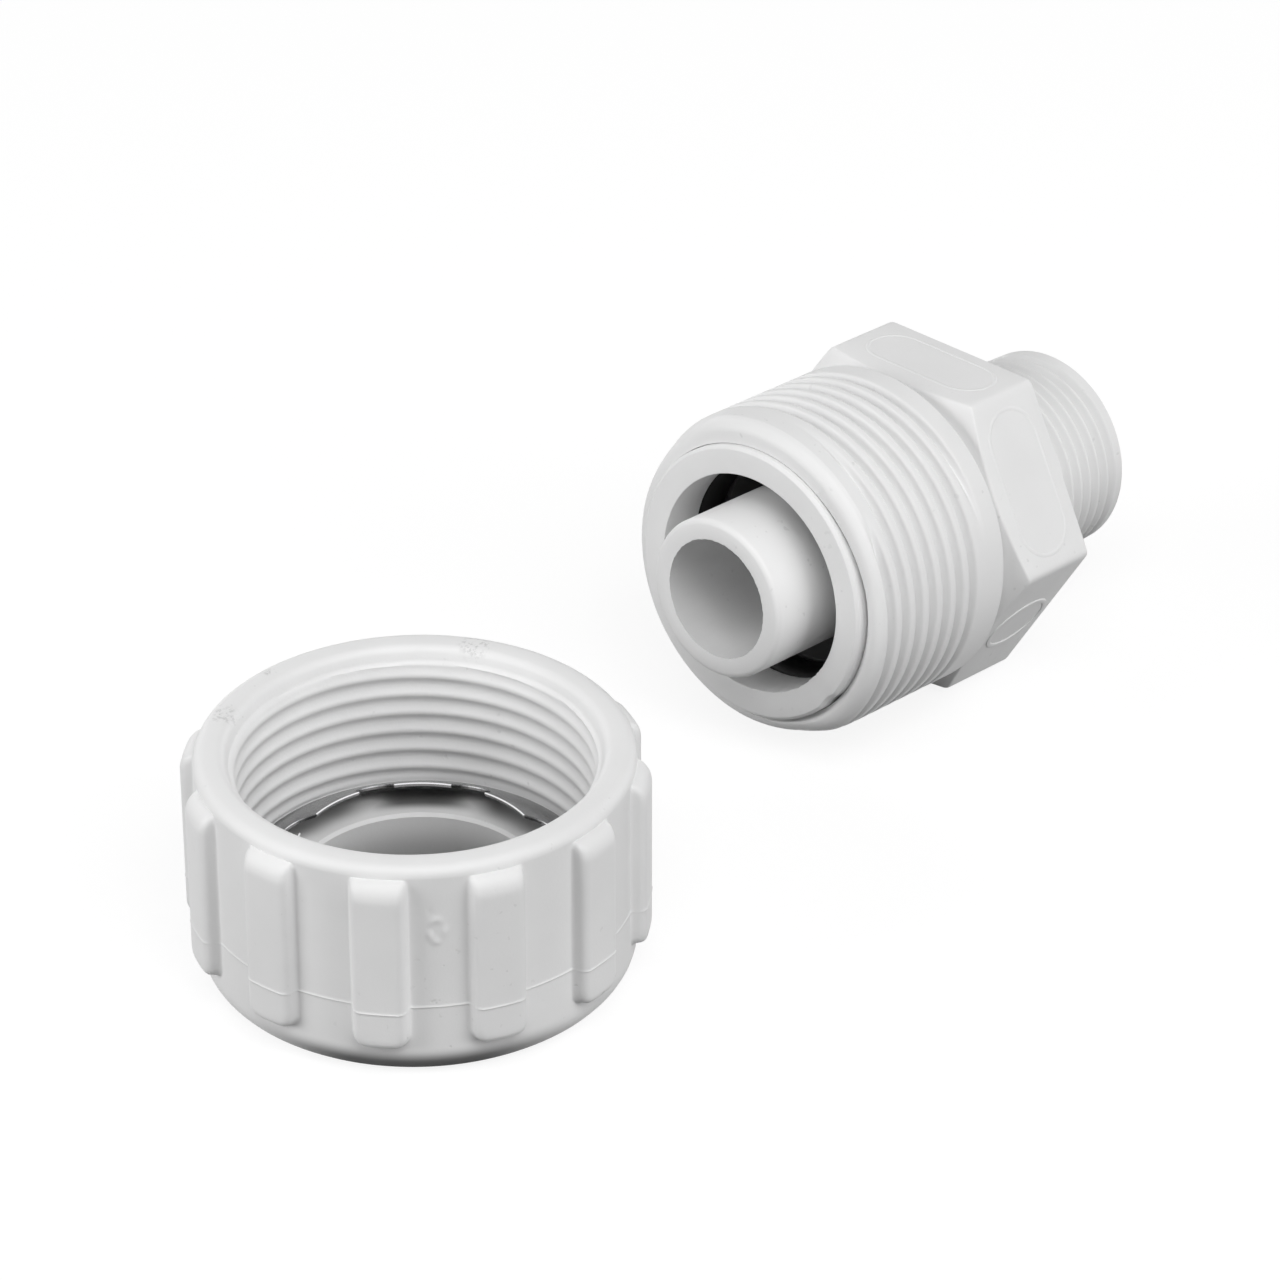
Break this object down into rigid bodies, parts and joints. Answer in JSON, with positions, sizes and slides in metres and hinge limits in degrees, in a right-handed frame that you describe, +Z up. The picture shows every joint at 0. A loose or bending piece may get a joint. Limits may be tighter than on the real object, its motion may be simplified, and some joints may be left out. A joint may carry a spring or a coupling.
{
  "type": "pipe gripper adapter",
  "caption": "White plastic gripper adapter for pipe: threaded body with stiffener tube, seal and retainer ring in its mouth, and a ribbed clamp nut holding a toothed grip ring.",
  "frame": {"origin": "centre of the clamp nut's base, on the ground that both pieces stand on", "axes": "+Z up along the nut's axis, +Y from the nut towards the body lying behind it, +X to the right"},
  "size_m": [0.055, 0.1471, 0.0435],
  "materials": {
    "white_plastic": "moulded satin",
    "nut_plastic": "moulded satin",
    "ring_plastic": "moulded satin",
    "seal_rubber": "semi-gloss black",
    "spring_steel": "rolled sheet with bright sheared edges"
  },
  "bodies": {
    "root": {"fitting_body": "white_plastic", "retainer_ring": "ring_plastic", "seal_ring": "seal_rubber", "clamp_nut": "nut_plastic", "grip_ring": "spring_steel"}
  },
  "joints": []
}
